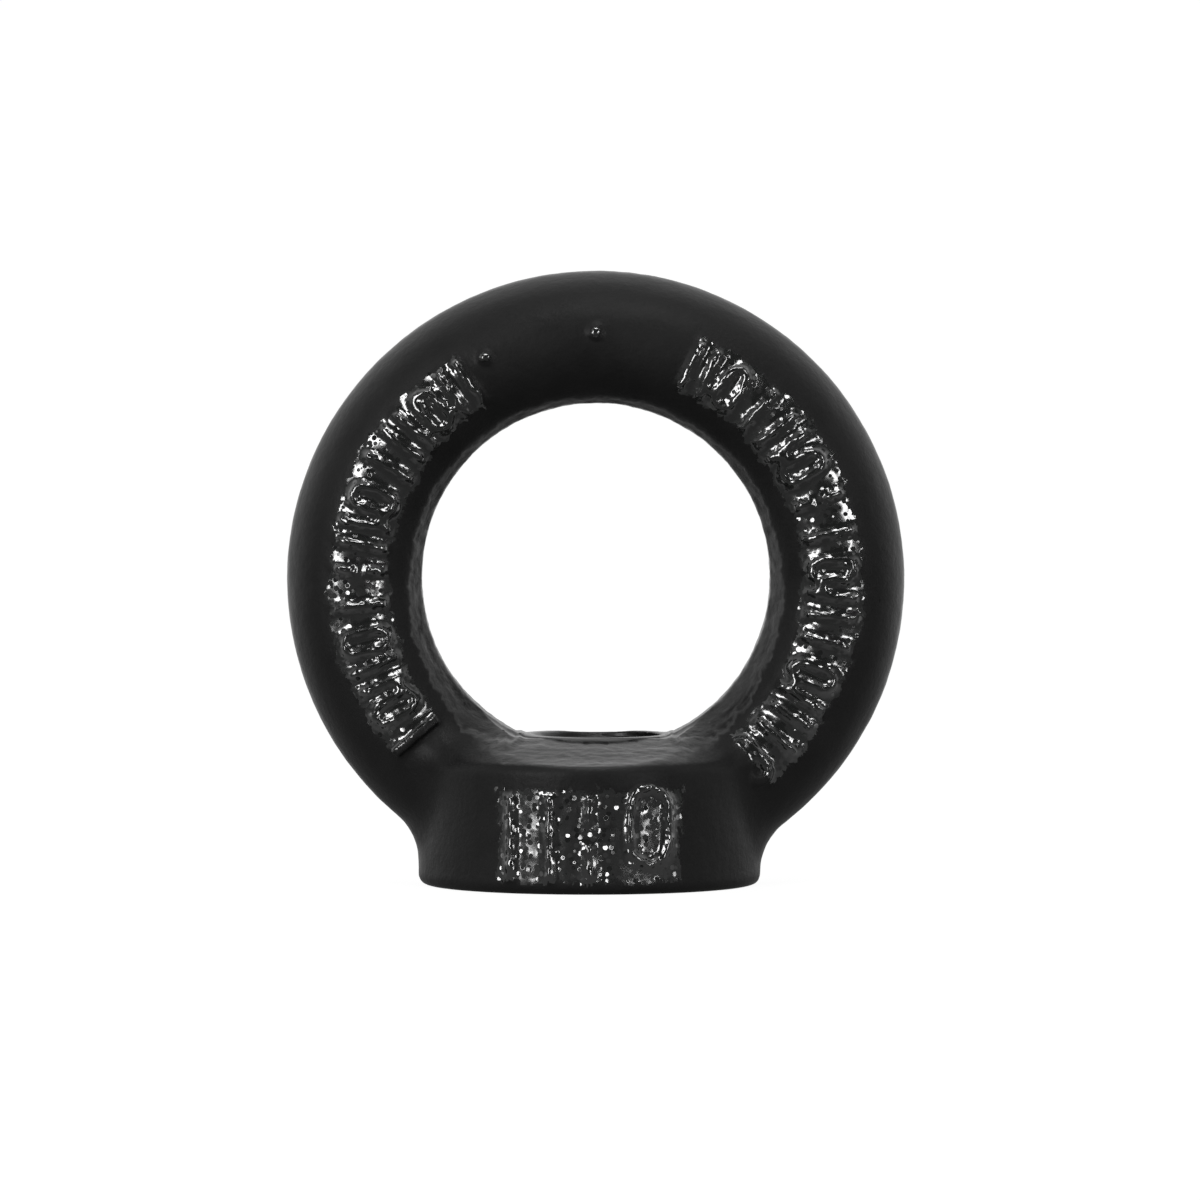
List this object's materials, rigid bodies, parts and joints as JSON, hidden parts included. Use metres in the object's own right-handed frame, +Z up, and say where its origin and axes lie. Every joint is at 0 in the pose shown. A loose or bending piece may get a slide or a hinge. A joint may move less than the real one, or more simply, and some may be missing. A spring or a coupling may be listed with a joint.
{
  "type": "lifting eye nut",
  "caption": "Forged steel lifting eye nut: a round ring rising from a short collar with a tapped hole through its foot, coated black.",
  "frame": {"origin": "foot of the thread's axis on the base, which is also the bottom centre of the bounding box", "axes": "+Z up the thread's axis to the top of the ring, Y through the eye with the front at -Y, X across the ring"},
  "size_m": [0.045, 0.0254, 0.0447],
  "materials": {
    "black_coating": "thin black coating on forged steel, satin where smooth and glossy on the raised marks"
  },
  "bodies": {
    "root": {"eye_nut": "black_coating"}
  },
  "joints": []
}
